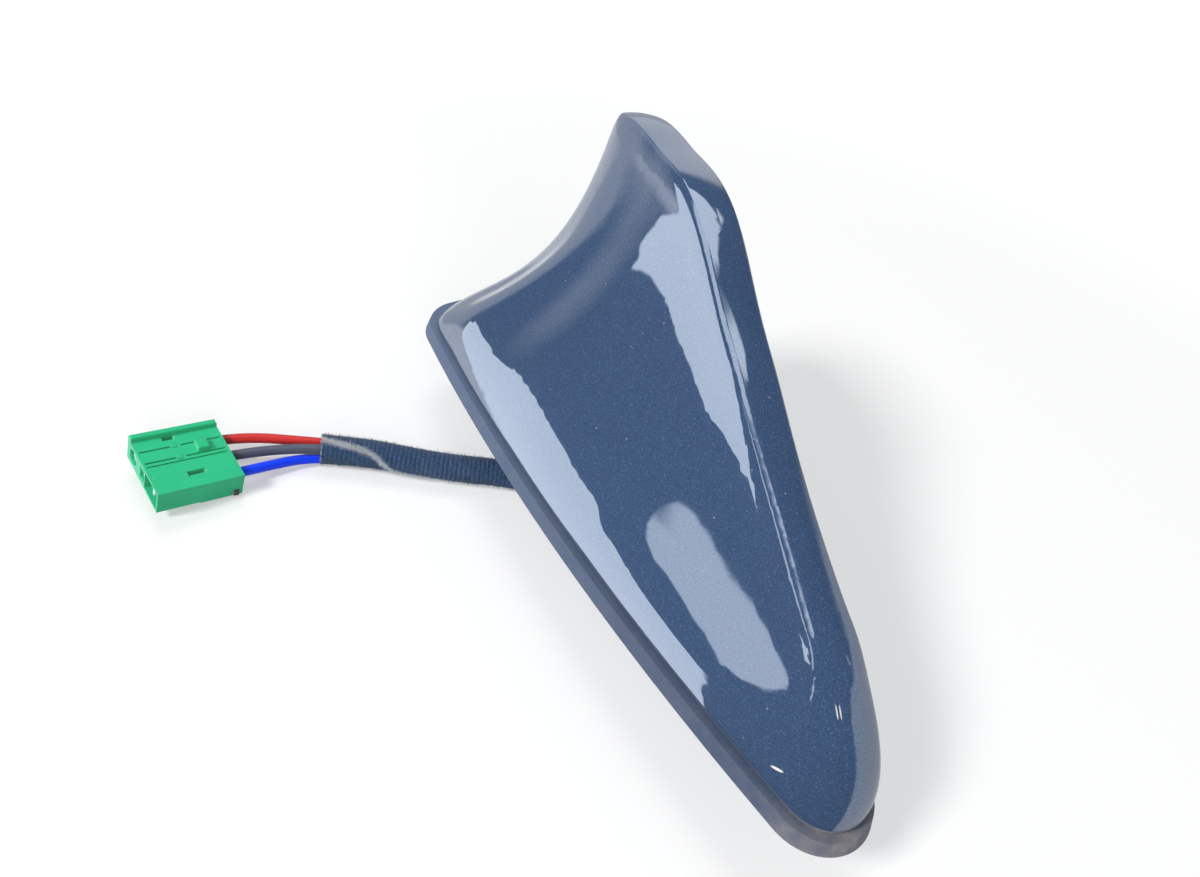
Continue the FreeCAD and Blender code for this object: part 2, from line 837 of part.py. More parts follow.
def make_lead(name):
    return cord_tube(name, [tuple(p) for p in lead_route(name)], lead_radius)


# Connector, modelled with its mating end towards -Y and its middle over the origin

def local_box(x0, x1, y0, y1, z0, z1):
    return Part.makeBox(x1 - x0, y1 - y0, z1 - z0, V(x0, y0, z0))


def block_edge():
    """X where the near, raised half of the connector begins."""
    return connector_width / 2 - near_block_width


def bored(x, radius, y0, y1):
    """Cylinder along the connector, at the height of the leads."""
    return Part.makeCylinder(radius, y1 - y0, V(x, y0, lead_height), V(0, 1, 0))


def upper_edges(box, bottom):
    return [e for e in box.Edges if e.BoundBox.ZMin > bottom and e.BoundBox.ZLength < 1e-6]


def make_rail():
    half = connector_width / 2
    rear = connector_length / 2
    top = connector_height
    rail = local_box(-half, rail_width - half, -rear, rear, top, top + rail_rise)
    return rail.makeFillet(rail_round, upper_edges(rail, top))


def make_latch_tab(far):
    top = connector_height
    start = connector_length / 2 - tab_from_rear - tab_length
    tab = local_box(far + latch_slot, far + latch_width - latch_slot, start, start + tab_length,
                    top, top + tab_rise)
    return tab.makeFillet(tab_round, upper_edges(tab, top))


def make_connector_housing():
    half = connector_width / 2
    rear = connector_length / 2
    top = connector_height
    edge = block_edge()
    near = edge - latch_from_block
    far = near - latch_width
    body = local_box(-half, half, -rear, rear, 0, top)
    body = body.cut(local_box(-half, half, -rear, 0, 0, underside_step))
    slot_front = latch_margin - rear
    slot_back = rear - latch_margin
    slot_floor = top - latch_slot_depth
    bridge = latch_bridge_from_front - rear
    for x in (far, near):
        for y0, y1 in ((slot_front, bridge), (bridge + latch_bridge, slot_back)):
            body = body.cut(local_box(x - latch_slot / 2, x + latch_slot / 2, y0, y1, slot_floor, top))
        body = body.fuse(local_box(x - bump_width / 2, x + bump_width / 2, bridge, bridge + latch_bridge / 2,
                                   slot_floor, top + bump_rise))
    groove_floor = top - block_groove_depth
    body = body.cut(local_box(edge - block_groove, edge, slot_front, slot_back, groove_floor, top))
    body = body.fuse([make_rail(), make_latch_tab(far)])
    window = window_from_front - rear
    window_far = rail_width - half
    body = body.cut(local_box(window_far, window_far + window_width, window, window + window_length,
                              top - window_depth, top))
    recess = recess_from_front - rear
    recess_far = half - recess_from_edge - recess_width
    body = body.cut(local_box(recess_far, recess_far + recess_width, recess, recess + recess_length,
                              top - recess_depth, top))
    slot = recess + (recess_length - key_slot_length) / 2
    body = body.cut(local_box(recess_far, recess_far + key_slot_width, slot, slot + key_slot_length,
                              top - key_slot_depth, top))
    for way in WAYS.values():
        x = way * lead_pitch
        radius = lead_radius + thread_clearance
        mouth = Part.makeCone(radius, radius + hole_flare, hole_mouth,
                              V(x, rear - hole_mouth, lead_height), V(0, 1, 0))
        body = body.cut(bored(x, radius, rear - hole_depth, rear)).cut(mouth)
    for socket in make_sockets(0.0, -rear):
        body = body.cut(socket)
    return body.cut(retainer_bar(0.0))


def make_sockets(inset, front):
    """Round, narrow and wide socket, set in by an inset and starting at a front face."""
    half = connector_width / 2
    back = socket_depth - connector_length / 2
    mid = mid_socket_width / 2 - inset
    rise = mid_socket_height / 2 - inset
    wall = socket_wall + inset
    return [
        bored(-lead_pitch, far_socket_radius - inset, front, back),
        local_box(-mid, mid, front, back, lead_height - rise, lead_height + rise),
        local_box(block_edge() + wall, half - wall, front, back,
                  wall + underside_step, connector_height - wall),
    ]


def retainer_bar(gap):
    rear = connector_length / 2 - retainer_from_rear
    top = lead_height - lead_radius - retainer_gap
    half = connector_width / 2
    return local_box(-half, half, rear - retainer_length + gap, rear - gap, 0, top - gap)


def make_contact_retainer():
    rear = connector_length / 2 - retainer_from_rear - thread_clearance
    half = connector_width / 2
    tip = local_box(half, half + retainer_tip, rear - retainer_length, rear,
                    retainer_gap, retainer_tip_height)
    return retainer_bar(thread_clearance).fuse(tip)


def make_connector_contacts():
    """A tube, a box spring and a blade on a web, one behind each socket's mouth."""
    front = contact_recess - connector_length / 2
    back = socket_depth - connector_length / 2
    outer = make_sockets(contact_clearance, front)
    inner = make_sockets(contact_clearance + contact_sheet, front)
    contacts = [whole.cut(hollow) for whole, hollow in zip(outer[:2], inner[:2])]
    middle = (block_edge() + connector_width / 2) / 2
    low = lead_height - blade_height / 2
    contacts.append(local_box(middle - blade_width / 2, middle + blade_width / 2, front, back,
                              low, low + blade_height))
    return Part.makeCompound(contacts)


def placed(shape):
    shape.Placement = connector_place().multiply(shape.Placement)
    return shape


def main():
    os.makedirs("parts", exist_ok=True)
    pieces = {
        "fin_cover": make_fin_cover(),
        "roof_gasket": make_roof_gasket(),
        "base_plate": make_base_plate(),
        "cover_seal": make_cover_seal(),
        "cover_screws": make_cover_screws(),
        "retaining_claw": make_retaining_claw(),
        "mounting_bolt": make_mounting_bolt(),
        "main_board": make_main_board(),
        "board_screws": make_board_screws(),
        "shield_can": make_shield_can(),
        "navigation_patch": make_navigation_patch(),
        "patch_electrode": make_patch_electrode(),
        "patch_pin": make_patch_pin(),
        "element_holder": make_element_holder(),
        "loading_coil": make_loading_coil(),
        "top_load_plate": make_top_load_plate(),
        "phone_element": make_phone_element(),
        "cable_grommet": make_cable_grommet(),
        "inner_leads": make_inner_leads(),
        "harness_sleeve": make_harness_sleeve(),
        "red_lead": make_lead("red_lead"),
        "grey_lead": make_lead("grey_lead"),
        "blue_lead": make_lead("blue_lead"),
        "connector_housing": placed(make_connector_housing()),
        "connector_contacts": placed(make_connector_contacts()),
        "contact_retainer": placed(make_contact_retainer()),
    }
    for node, shape in pieces.items():
        write(shape, node)


main()
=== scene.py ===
# %% [markdown]
# # A fin-shaped roof antenna for a car
# The solids of the antenna come from CAD: the painted fin cover, its rubber gasket, the casting
# below it and the connector on the end of its cable. This lesson gives them their finishes and
# makes the soft things that CAD leaves plain: the fleece sleeve and the three coloured leads.
# Everything is in metres, in the CAD model's own frame, with the roof plane at height zero.

# %% Load the CAD model
import math
import random

import bpy
from mathutils import Matrix, Vector


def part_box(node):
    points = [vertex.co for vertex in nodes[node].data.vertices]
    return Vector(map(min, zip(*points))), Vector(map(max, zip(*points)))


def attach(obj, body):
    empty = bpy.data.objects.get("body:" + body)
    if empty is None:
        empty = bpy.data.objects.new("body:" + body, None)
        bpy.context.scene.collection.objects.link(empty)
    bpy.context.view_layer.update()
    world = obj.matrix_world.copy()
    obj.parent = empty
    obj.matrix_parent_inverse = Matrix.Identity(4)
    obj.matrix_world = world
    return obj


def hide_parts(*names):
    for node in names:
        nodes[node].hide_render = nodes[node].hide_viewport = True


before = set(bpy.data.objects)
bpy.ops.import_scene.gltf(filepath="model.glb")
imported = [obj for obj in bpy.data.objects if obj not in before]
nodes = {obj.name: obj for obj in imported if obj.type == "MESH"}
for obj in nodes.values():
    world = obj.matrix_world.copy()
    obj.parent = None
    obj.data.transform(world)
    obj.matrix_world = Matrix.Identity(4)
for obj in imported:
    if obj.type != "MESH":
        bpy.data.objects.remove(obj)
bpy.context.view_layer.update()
MM = 0.001
UP = Vector((0, 0, 1))
floor_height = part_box("mounting_bolt")[0].z
print("nodes:", len(nodes), "floor at", round(floor_height, 4))

# %% [markdown]
# ## The camera
# The photograph looks down at the nose from its right-hand side, with the picture turned a little.
# A camera is often aimed at a point, but that leaves its turn open. The place and the turn were found
# by fitting the gasket's outline, so the camera gets its three axes as a matrix and needs no aiming.

# %% Camera
image_width = 1200
focal_pixels = 980.56
camera_place = Vector((0.13379, -0.10654, 0.16122))
camera_right = Vector((0.3713, 0.9039, 0.2122)).normalized()
camera_down = Vector((0.6717, -0.1037, -0.7336))
camera_down = (camera_down - camera_right * camera_down.dot(camera_right)).normalized()
camera_back = camera_right.cross(-camera_down)

camera_data = bpy.data.cameras.new("photo_camera")
camera_data.sensor_width = 36.0
camera_data.lens = focal_pixels * camera_data.sensor_width / image_width
camera_data.clip_start = 0.005
camera = bpy.data.objects.new("photo_camera", camera_data)
bpy.context.scene.collection.objects.link(camera)
turn = Matrix((camera_right, -camera_down, camera_back)).transposed().to_4x4()
camera.matrix_world = Matrix.Translation(camera_place) @ turn
bpy.context.scene.camera = camera
print("lens", round(camera_data.lens, 2), "mm")

# %% [markdown]
# ## Cables first
# Under the fin, the three leads leave the grommet in one fleece sleeve, lie along the floor and come
# out of the sleeve's cut end to reach the connector. Each one is a smooth NURBS line through
# the same points as its CAD tube. A thin round lead can stay a curve with a round bevel. The fleece
# needs its own ribs and its own torn edge, so its line only guides a mesh tube.

# %% Points of the sleeve and the leads
SLEEVE_POINTS = (
    (-0.0178, -0.0020, 0.0003), (-0.0178, -0.0020, -0.0057), (-0.0194, -0.0044, -0.0107),
    (-0.0220, -0.0086, -0.0142), (-0.0274, -0.0158, -0.0142), (-0.0321, -0.0256, -0.0142),
    (-0.0357, -0.0370, -0.0142), (-0.0406, -0.0484, -0.0142), (-0.0450, -0.0582, -0.0142),
    (-0.0479, -0.0680, -0.0142),
)
LEAD_POINTS = {
    "red_lead": ((-0.04667, -0.05689, -0.01385), (-0.05021, -0.06888, -0.01385),
                 (-0.05529, -0.08664, -0.01385), (-0.05302, -0.09478, -0.01297)),
    "grey_lead": ((-0.04354, -0.05782, -0.01267), (-0.04709, -0.06980, -0.01267),
                  (-0.04981, -0.08516, -0.01435), (-0.04753, -0.09330, -0.01346)),
    "blue_lead": ((-0.04413, -0.05765, -0.01608), (-0.04767, -0.06963, -0.01608),
                  (-0.04433, -0.08368, -0.01484), (-0.04205, -0.09182, -0.01395)),
}
lead_radius = 1.25 * MM
sleeve_radius = 3.6 * MM
connector_nodes = [nodes[name] for name in ("connector_housing", "connector_contacts", "contact_retainer")]
print("points:", len(SLEEVE_POINTS), "for the sleeve, leads:", ", ".join(LEAD_POINTS))

# %% Smooth lines


def smooth_line(name, points, radius):
    """A curve object with one open NURBS spline; its knots hold the cable's radius."""
    curve = bpy.data.curves.new(name, "CURVE")
    curve.dimensions = "3D"
    curve.resolution_u = 24
    spline = curve.splines.new("NURBS")
    spline.points.add(len(points) - 1)
    for knot, point in zip(spline.points, points):
        knot.co = (*point, 1.0)
        knot.radius = radius
    spline.order_u = 3
    spline.use_endpoint_u = True
    line = bpy.data.objects.new(name, curve)
    bpy.context.scene.collection.objects.link(line)
    return line


def line_points(line):
    """Points along a curve that has no bevel, as Blender works them out."""
    bpy.context.view_layer.update()
    mesh = bpy.data.meshes.new_from_object(line.evaluated_get(bpy.context.evaluated_depsgraph_get()))
    points = [vertex.co.copy() for vertex in mesh.vertices]
    bpy.data.meshes.remove(mesh)
    return points


def run_length(points):
    """Length along a line of points."""
    return sum((b - a).length for a, b in zip(points, points[1:]))


# %% The three leads
leads = {}
for lead_name, lead_points in LEAD_POINTS.items():
    lead = smooth_line("cable_" + lead_name, lead_points, lead_radius)
    lead_length = run_length(line_points(lead))
    # A bevel is as deep as its own depth times the knot's radius, and the knots hold the true one
    lead.data.bevel_depth = 1.0
    lead.data.bevel_resolution = 6
    lead.data.use_fill_caps = True
    leads[lead_name] = lead
    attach(lead, "root")
    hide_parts(lead_name)
    print(lead_name, round(lead_length / MM, 1), "mm")

# %% [markdown]
# ## The fleece sleeve
# The sleeve is a ribbed fleece tape wrapped round the leads. Its outer layer ends in a slanting cut edge near
# the connector, where pale fibres stick out, and the layer below shows there. A bump could draw the ribs,
# but it would leave the outline smooth, so a tube of rings along the NURBS line gives the ribs and the step of the
# edge as real shape. The frames start at the cut end, level with the floor, and are carried back along
# the line, so nothing twists.

# %% Rings along the sleeve's line
sleeve_line = smooth_line("sleeve_line", SLEEVE_POINTS, sleeve_radius)
sleeve_path = line_points(sleeve_line)
bpy.data.objects.remove(sleeve_line)
ring_step = 0.2 * MM
ring_sides = 84
ring_angles = [2 * math.pi * step / ring_sides for step in range(ring_sides)]


def evenly_spaced(points, step):
    """Points a fixed step apart along a line of points."""
    spaced = [points[0]]
    travelled = 0.0
    for a, b in zip(points, points[1:]):
        run = (b - a).length
        while travelled + run >= step and run > 0:
            a = a.lerp(b, (step - travelled) / run)
            spaced.append(a.copy())
            run = (b - a).length
            travelled = 0.0
        travelled += run
    return spaced


def carried_frames(points):
    """For each point: the way along the line, and two directions across it that never twist."""
    frames = []
    near = None
    for index, point in enumerate(points):
        before, after = points[max(index - 1, 0)], points[min(index + 1, len(points) - 1)]
        along = (before - after).normalized()
        if near is None:
            near = UP.cross(along)
        near = (near - along * near.dot(along)).normalized()
        frames.append((point, along, near, along.cross(near)))
    return frames


sleeve_frames = carried_frames(evenly_spaced(sleeve_path[::-1], ring_step))

# %% Cut edge of the outer layer
# Where the edge lies: millimetres from the cut end, and degrees up from the near side
CUT_EDGE = ((0.0, 84), (4.0, 72), (7.0, 64), (11.0, 54), (14.0, 33), (16.0, 12), (18.5, -20), (22.0, -38),
            (30.0, -43), (90.0, -46))


def smooth(value):
    """A soft step from 0 to 1."""
    value = min(1.0, max(0.0, value))
    return value * value * (3 - 2 * value)


def edge_angle(distance):
    """Angle of the cut edge at a distance from the end, in degrees."""
    for (d0, a0), (d1, a1) in zip(CUT_EDGE, CUT_EDGE[1:]):
        if distance <= d1 * MM:
            return a0 + (a1 - a0) * (distance / MM - d0) / (d1 - d0)
    return CUT_EDGE[-1][1]


def past_edge(distance, angle):
    """Degrees by which a direction lies above the cut edge, from -180 to 180."""
    return (math.degrees(angle) - edge_angle(distance) + 180) % 360 - 180


print("cut edge at 5 mm from the end:", round(edge_angle(5 * MM), 1), "degrees")

# %% Form of the wrapped fleece
draw = random.Random(7)
rib_pitch, rib_depth = 1.15 * MM, 0.07 * MM
rib_sway, rib_turn = 0.16, 0.6
inner_ribs = 0.35
inner_layer = 3.26 * MM
layer_step = 0.22 * MM
edge_width = 9
far_start, far_width = 100, 50
flare_height, flare_start, flare_run = 0.26 * MM, 30 * MM, 26 * MM
swell_height, swell_along, swell_around = 0.09 * MM, 5.5 * MM, 9 * MM
nap_depth = 0.07 * MM


def rib_wave(distance, angle):
    """Height on a rib from -1 to 1; the ribs lean a little round the tube."""
    return math.sin(2 * math.pi * (distance / rib_pitch + rib_sway * math.sin(angle + rib_turn)))


def fleece_radius(distance, angle):
    """Radius of the tube; each call draws one number for the nap."""
    above = past_edge(distance, angle)
    outer = smooth(above / edge_width + 0.5) + smooth((-above - far_start) / far_width)
    swell = math.sin(distance / swell_along) * math.sin(2 * angle + distance / swell_around)
    flare = smooth((flare_start - distance) / flare_run)
    form = inner_layer + flare_height * flare + layer_step * outer + swell_height * swell
    ribs = rib_depth * rib_wave(distance, angle) * (inner_ribs + (1 - inner_ribs) * outer)
    return form + ribs + draw.uniform(-0.5, 0.5) * nap_depth


print("a rib each", rib_pitch / MM, "mm")

# %% Fleece tube
bore_radius = 3.3 * MM
bore_depth = 8.0 * MM
bore_stride = 8


def ring_of(frame_here, radius_at):
    """Points of one ring, with a radius for each angle."""
    point, _, near, high = frame_here
    return [point + (near * math.cos(angle) + high * math.sin(angle)) * radius_at(angle)
            for angle in ring_angles]


rings = []
for frame_here in sleeve_frames[int(bore_depth / ring_step):0:-bore_stride]:
    rings.append(ring_of(frame_here, lambda angle: bore_radius))
outer_first = len(rings)
for index, frame_here in enumerate(sleeve_frames):
    rings.append(ring_of(frame_here, lambda angle, d=index * ring_step: fleece_radius(d, angle)))
vertices = [point for ring in rings for point in ring]
faces = []
for index in range(len(rings) - 1):
    for step in range(ring_sides):
        following = (step + 1) % ring_sides
        a, b = index * ring_sides, (index + 1) * ring_sides
        faces.append((a + step, a + following, b + following, b + step))
faces.append(tuple(reversed(range(ring_sides))))
faces.append(tuple((len(rings) - 1) * ring_sides + step for step in range(ring_sides)))
sleeve_mesh = bpy.data.meshes.new("fleece_sleeve")
sleeve_mesh.from_pydata(vertices, [], faces)
sleeve = bpy.data.objects.new("fleece_sleeve", sleeve_mesh)
bpy.context.scene.collection.objects.link(sleeve)
print("fleece tube faces:", len(sleeve_mesh.polygons))

# %% Normals of the tube
bpy.ops.object.select_all(action="DESELECT")
sleeve.select_set(True)
bpy.context.view_layer.objects.active = sleeve
bpy.ops.object.mode_set(mode="EDIT")
bpy.ops.mesh.select_all(action="SELECT")
bpy.ops.mesh.normals_make_consistent(inside=False)
bpy.ops.object.mode_set(mode="OBJECT")
bpy.ops.object.shade_smooth()
print("fleece tube shaded smooth:", sleeve_mesh.polygons[0].use_smooth)

# %% [markdown]
# The material needs to know where the cut edge and the ribs are. It could guess them from the place alone, but
# the tube bends. So two numbers are kept on the tube's points: how near the point is to the edge, and how high
# it lies on its rib.

# %% Numbers kept on the tube
fray_width = 11
fray_end, fray_fade = 44 * MM, 12 * MM
end_fray, end_fray_level = 0.7 * MM, 0.5
edge_numbers = sleeve_mesh.attributes.new("cut_edge", "FLOAT", "POINT")
rib_numbers = sleeve_mesh.attributes.new("rib_height", "FLOAT", "POINT")
for index in range(len(rings)):
    distance = max(0, index - outer_first) * ring_step
    fade = smooth((fray_end - distance) / fray_fade)
    at_end = smooth((end_fray - distance) / end_fray) * end_fray_level
    for step, angle in enumerate(ring_angles):
        worn = math.exp(-(past_edge(distance, angle) / fray_width) ** 2) * fade
        edge_numbers.data[index * ring_sides + step].value = max(worn, at_end)
        rib_numbers.data[index * ring_sides + step].value = 0.5 + 0.5 * rib_wave(distance, angle)
print("numbers kept on", len(edge_numbers.data), "points")

# %% [markdown]
# ## Nap and torn fibres
# Fleece blurs its own outline. Hair could do that, but an exported part keeps only meshes. So short closed spikes
# stand all over the tube, and paler, longer ones stick out along the cut edge. They are two pieces,
# because the torn fibres have lost their dye.

# %% Spikes
lean_along, lean_around = 1.0, 1.1
root_depth = 0.12 * MM
floor_gap = 0.08 * MM


def add_fibre(corners, sides, root, out, length, width):
    """A closed three-sided spike."""
    first = len(corners)
    aside = out.orthogonal().normalized()
    for corner in range(3):
        spin = Matrix.Rotation(2 * math.pi / 3 * corner, 3, out)
        corners.append(root + spin @ aside * width)
    corners.append(root + out * length)
    sides.append((first + 1, first, first + 2))
    for corner in range(3):
        sides.append((first + corner, first + (corner + 1) % 3, first + 3))


def fibre_piece(name, count, place_of, shortest, longest, width):
    """Spikes at drawn places on the sleeve, none of them below the floor."""
    corners, sides = [], []
    for _ in range(count):
        index, angle = place_of()
        point, along, near, high = sleeve_frames[index]
        normal = near * math.cos(angle) + high * math.sin(angle)
        lean = normal + along * draw.uniform(-lean_along, lean_along)
        lean += along.cross(normal) * draw.uniform(-lean_around, lean_around)
        lean.normalize()
        root = point + normal * (fleece_radius(index * ring_step, angle) - root_depth)
        length = shortest + (longest - shortest) * draw.random() ** 2
        if min(root.z, (root + lean * length).z) > floor_height + floor_gap:
            add_fibre(corners, sides, root, lean, length, width)
    mesh = bpy.data.meshes.new(name)
    mesh.from_pydata(corners, [], sides)
    piece = bpy.data.objects.new(name, mesh)
    bpy.context.scene.collection.objects.link(piece)
    print(name, len(corners) // 4, "fibres")
    return piece


# %% Nap, torn edge, and the sleeve hung on the root in place of the CAD sleeve
torn_run, torn_crowding, torn_scatter = 40, 0.9, 6


def anywhere():
    """A ring and an angle anywhere on the tube."""
    return draw.randrange(len(sleeve_frames)), draw.uniform(0, 2 * math.pi)


def along_the_edge():
    """A ring and an angle near the cut edge, more often towards the end."""
    distance = draw.uniform(0, torn_run) ** torn_crowding * MM
    angle = edge_angle(distance) + draw.gauss(0, torn_scatter)
    return int(distance / ring_step), math.radians(angle)


nap = fibre_piece("fleece_nap", 13000, anywhere, shortest=0.30 * MM, longest=1.25 * MM, width=0.055 * MM)
torn = fibre_piece("fleece_torn_edge", 4200, along_the_edge, shortest=0.35 * MM, longest=1.20 * MM,
                   width=0.060 * MM)

for piece in (sleeve, nap, torn):
    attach(piece, "root")
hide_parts("harness_sleeve")

# %% [markdown]
# In the photograph the antenna lies tilted, and the skirt of its fin mirrors only the table. Here it stands level,
# so its cable and connector are left out of the mirror images, though not of the picture.

# %% Cable left out of mirror images
cable_pieces = [sleeve, nap, torn, *leads.values(), *connector_nodes]
for piece in cable_pieces:
    piece.visible_glossy = False
print("not mirrored:", len(cable_pieces))

# %% [markdown]
# ## Finishes
# Every surface gets a material made of nodes, because a pattern of nodes stays sharp at any distance and
# needs no image. One small class wraps a socket, so that masks can be written as sums and
# products, and one method makes every other node. The same method serves materials and the sky.

# %% Sockets that can be added and multiplied


class Signal:
    """An output socket; arithmetic on it adds Math nodes."""

    def __init__(self, tree, socket):
        self.tree = tree
        self.socket = socket

    def maths(self, operation, first, second):
        made = self.tree.nodes.new("ShaderNodeMath")
        made.operation = operation
        for slot_in, value in zip(made.inputs, (first, second)):
            if isinstance(value, Signal):
                self.tree.links.new(value.socket, slot_in)
            else:
                slot_in.default_value = value
        return Signal(self.tree, made.outputs[0])

    def __add__(self, other):
        return self.maths("ADD", self, other)

    def __radd__(self, other):
        return self.maths("ADD", other, self)

    def __sub__(self, other):
        return self.maths("SUBTRACT", self, other)

    def __rsub__(self, other):
        return self.maths("SUBTRACT", other, self)

    def __mul__(self, other):
        return self.maths("MULTIPLY", self, other)

    def __rmul__(self, other):
        return self.maths("MULTIPLY", other, self)

    def atleast(self, other):
        return self.maths("MAXIMUM", self, other)


# %% The node maker


class NodeMaker:
    """Makes the nodes of one tree."""

    def __init__(self, tree):
        self.tree = tree
        self.tree.nodes.clear()

    def node(self, kind, settings, sockets, output=None):
        made = self.tree.nodes.new(kind)
        for key, value in settings.items():
            setattr(made, key, value)
        for key, value in sockets.items():
            socket = next(s for s in made.inputs if s.enabled and key in (s.identifier, s.name))
            if isinstance(value, Signal):
                self.tree.links.new(value.socket, socket)
            else:
                socket.default_value = value
        outputs = [s for s in made.outputs if s.enabled]
        if output is not None:
            outputs = [s for s in outputs if s.name == output]
        return Signal(self.tree, outputs[0] if outputs else None)

    def between(self, signal, low, high, out_low=0.0, out_high=1.0):
        """A soft step while a signal goes from low to high; low may be the larger one."""
        return self.node("ShaderNodeMapRange", {"clamp": True, "interpolation_type": "SMOOTHSTEP"},
                         {"Value": signal, "From Min": low, "From Max": high,
                          "To Min": out_low, "To Max": out_high})

    def blend(self, share, first, second):
        return self.node("ShaderNodeMix", {"data_type": "RGBA"},
                         {"Factor_Float": share, "A_Color": first, "B_Color": second})

    def noise(self, where, scale, detail=2.0, roughness=0.5):
        return self.node("ShaderNodeTexNoise", {"noise_dimensions": "3D"},
                         {"Vector": where, "Scale": scale, "Detail": detail, "Roughness": roughness}, "Fac")


# %% The finish of a piece


class Finish(NodeMaker):
    """A material on Object coordinates."""

    def __init__(self, name):
        self.material = bpy.data.materials.new(name)
        self.material.use_nodes = True
        super().__init__(self.material.node_tree)
        self.place = self.node("ShaderNodeTexCoord", {}, {}, "Object")

    def grain(self, scale, detail=2.0, roughness=0.5):
        return self.noise(self.place, scale, detail, roughness)

    def along(self, axis):
        return self.node("ShaderNodeSeparateXYZ", {}, {"Vector": self.place}, axis)

    def kept(self, name):
        """A number kept on the piece's points."""
        return self.node("ShaderNodeAttribute", {"attribute_name": name}, {}, "Fac")

    def specks(self, scale, size, share, core=0.55, fade=0.04):
        """Dots with a full core, one in some of the cells of a random pattern."""
        cell = {"Vector": self.place, "Scale": scale, "Randomness": 1.0}
        near = self.node("ShaderNodeTexVoronoi", {"feature": "F1"}, cell, "Distance")
        tint = self.node("ShaderNodeTexVoronoi", {"feature": "F1"}, cell, "Color")
        chance = self.node("ShaderNodeSeparateColor", {}, {"Color": tint}, "Red")
        return self.between(near, size, size * core) * self.between(chance, share, share - fade)

    def mark(self, centre, turn_to, radii, rim=1.1, core=0.75):
        """One small stroke: a soft ellipsoid at a place, lengthwise along a direction."""
        turned = Vector(turn_to).to_track_quat("X", "Z").to_euler()
        inside = self.node("ShaderNodeMapping", {"vector_type": "TEXTURE"},
                           {"Vector": self.place, "Location": centre, "Rotation": turned, "Scale": radii})
        far = self.node("ShaderNodeVectorMath", {"operation": "LENGTH"}, {"Vector": inside}, "Value")
        return self.between(far, rim, core)

    def bump(self, height, strength, distance):
        return self.node("ShaderNodeBump", {}, {"Height": height, "Strength": strength, "Distance": distance})

    def surface(self, **sockets):
        named = {key.replace("_", " "): value for key, value in sockets.items()}
        self.show(self.node("ShaderNodeBsdfPrincipled", {}, named))
        return self.material

    def show(self, shader):
        self.node("ShaderNodeOutputMaterial", {}, {"Surface": shader})


def colour(red, green, blue):
    return (red, green, blue, 1.0)


def dress(piece, material):
    piece.data.materials.clear()
    piece.data.materials.append(material)


# %% [markdown]
# ## Painted fin
# The cover wears car paint: a dark blue base with fine metal flakes under a thick, hard clear coat. A plain
# glossy blue would look like plastic. Here the coat gives the sharp reflections and the flakes a faint
# mottle. Years outdoors left dust specks, and stones left one white chip and two short scratches near the
# nose.

# %% Marks and colours of the paint
chip_place, chip_way = (0.0721, -0.01017, 0.00958), (0.0022, 0.0009, 0.0012)
chip_size, scratch_size = (0.0015, 0.00032, 0.00032), (0.0014, 0.00012, 0.00025)
SCRATCHES = (((0.0719, -0.00374, 0.02526), (0.0017, 0.0, -0.0014)),
             ((0.0722, -0.00322, 0.02544), (0.0017, 0.0, -0.0014)))
deep_blue, mid_blue = colour(0.039, 0.081, 0.172), colour(0.050, 0.102, 0.216)
flake_shade, flake_glint = colour(0.020, 0.044, 0.105), colour(0.130, 0.230, 0.390)
paint_dust, chip_white = colour(0.46, 0.50, 0.54), colour(0.86, 0.82, 0.80)
print("paint with", len(SCRATCHES), "scratches and one chip")

# %% Car paint


def car_paint():
    paint = Finish("dark_blue_metallic")
    flakes = paint.grain(2700.0, 3.0, 0.7)
    cloud = paint.grain(24.0, 3.0)
    base = paint.blend(cloud, deep_blue, mid_blue)
    base = paint.blend(paint.between(flakes, 0.48, 0.32) * 0.6, base, flake_shade)
    base = paint.blend(paint.between(flakes, 0.55, 0.72) * 0.8, base, flake_glint)
    film = paint.between(paint.grain(38.0, 5.0, 0.6), 0.50, 0.72)
    dust = paint.specks(300.0, size=0.060, share=0.36)
    dust = dust.atleast(paint.specks(820.0, size=0.11, share=0.30) * film)
    chip = paint.mark(chip_place, chip_way, chip_size)
    for place, way in SCRATCHES:
        chip = chip.atleast(paint.mark(place, way, scratch_size) * 0.8)
    base = paint.blend(dust * 0.7, base, paint_dust)
    base = paint.blend(chip, base, chip_white)
    bare = dust.atleast(chip)
    rough = paint.between(cloud, 0.3, 0.7, 0.40, 0.48) + bare * 0.2
    ripple = paint.grain(260.0, 2.0)
    return paint.surface(Base_Color=base, Metallic=0.12, Roughness=rough, Specular_IOR_Level=0.25,
                         Coat_Weight=1.0 - bare, Coat_Roughness=0.022, Coat_IOR=2.7,
                         Normal=paint.bump(ripple, strength=0.012, distance=0.2 * MM))


dress(nodes["fin_cover"], car_paint())
print("paint nodes:", len(nodes["fin_cover"].data.materials[0].node_tree.nodes))

# %% [markdown]
# ## Rubber
# The gasket is matt moulded rubber, dark and a little blue, with a fine grain. Road dirt has dried on
# it in a thin brown film round the nose. The seal and the grommet are softer, blacker rubber. One function
# makes both, with two shades and a share of dirt, so that they stay alike.

# %% Rubber finishes
pale_tail, dark_nose = -0.085, 0.080
dirt_start, dirt_full = 0.068, 0.088
dried_dirt, pale_speck = colour(0.27, 0.25, 0.25), colour(0.35, 0.36, 0.38)


